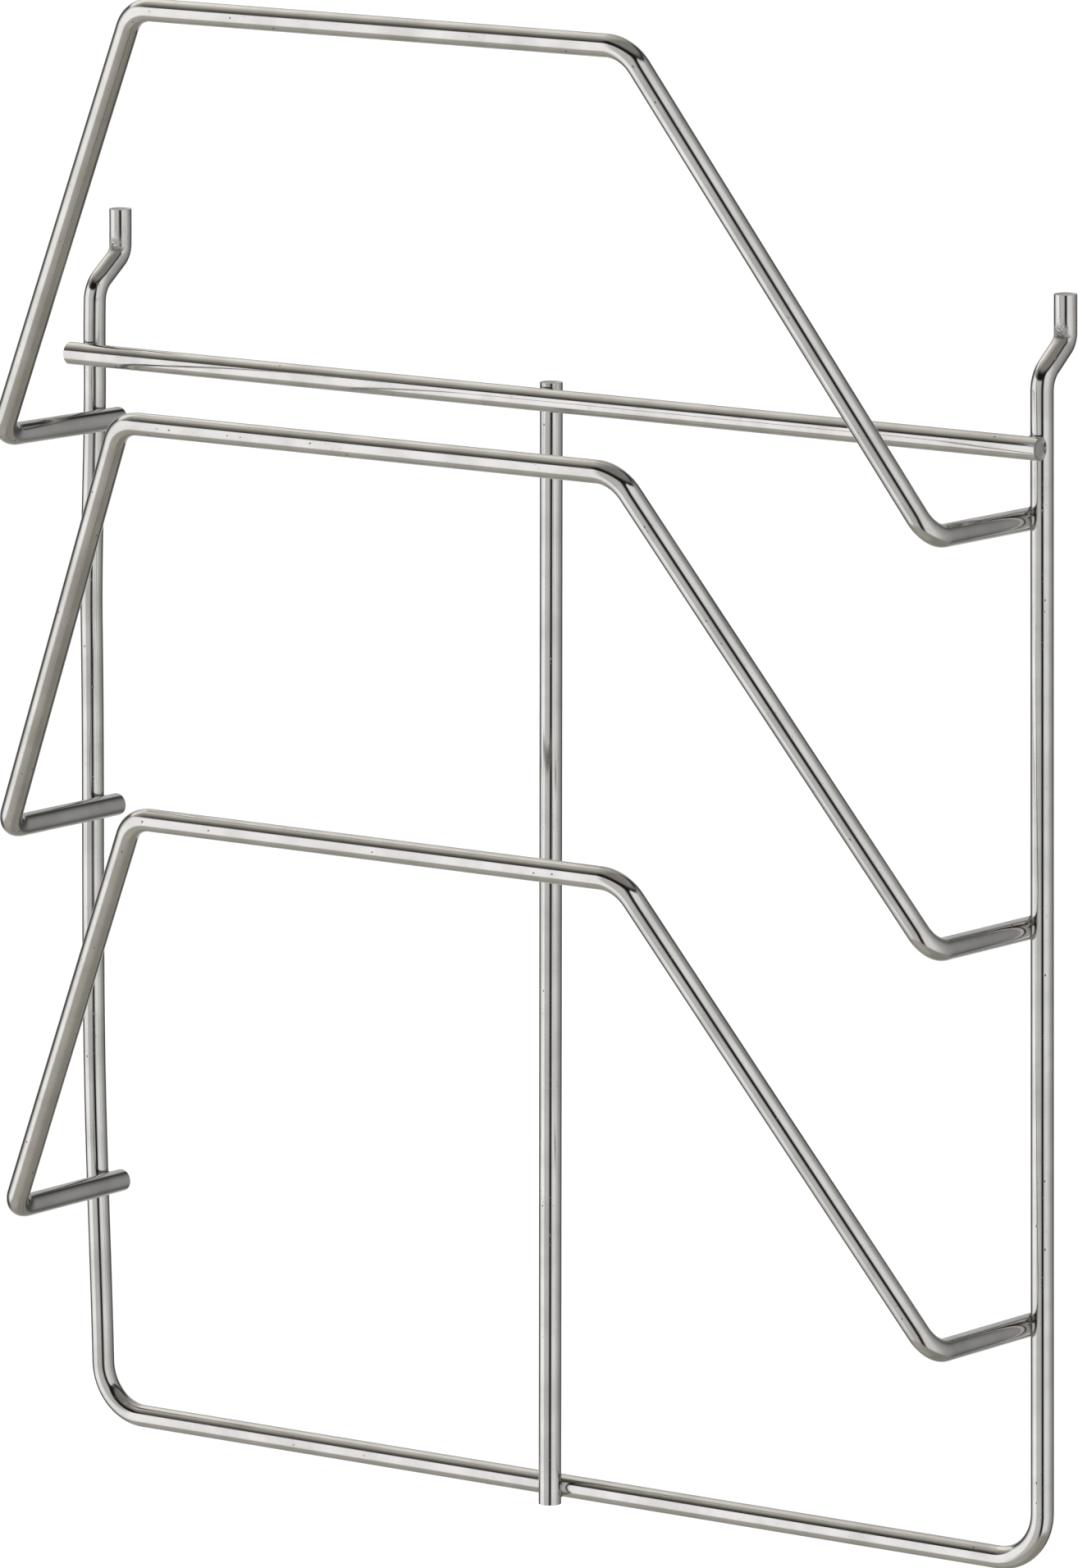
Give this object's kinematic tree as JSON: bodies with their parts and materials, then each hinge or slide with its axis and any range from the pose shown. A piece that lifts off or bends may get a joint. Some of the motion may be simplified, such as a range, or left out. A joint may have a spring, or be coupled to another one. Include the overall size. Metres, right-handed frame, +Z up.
{
  "type": "wire wall rack",
  "caption": "Welded steel wire rack that hangs on a perforated wall panel by two cranked pegs; leaning trapezoid loops hold pan lids, boards or plates on edge.",
  "frame": {"origin": "midway between the two hanging pegs, on the front face of the perforated panel, at the height where the pegs pass through it", "axes": "+X to the right along the crossbar, +Y back into the wall, +Z up"},
  "size_m": [0.3108, 0.0951, 0.3998],
  "materials": {
    "polished_wire": "polished stainless wire with fine drawing marks",
    "weld_metal": "brushed weld flash with light brown heat tint"
  },
  "bodies": {
    "root": {"back_frame": "polished_wire", "crossbar": "polished_wire", "centre_bar": "polished_wire", "loop_top": "polished_wire", "loop_middle": "polished_wire", "loop_bottom": "polished_wire", "weld_crossbar_left": "weld_metal", "weld_crossbar_right": "weld_metal", "weld_crossbar_centre": "weld_metal", "weld_frame_centre": "weld_metal", "weld_top_left": "weld_metal", "weld_top_right": "weld_metal", "weld_middle_left": "weld_metal", "weld_middle_right": "weld_metal", "weld_bottom_left": "weld_metal", "weld_bottom_right": "weld_metal"}
  },
  "joints": []
}
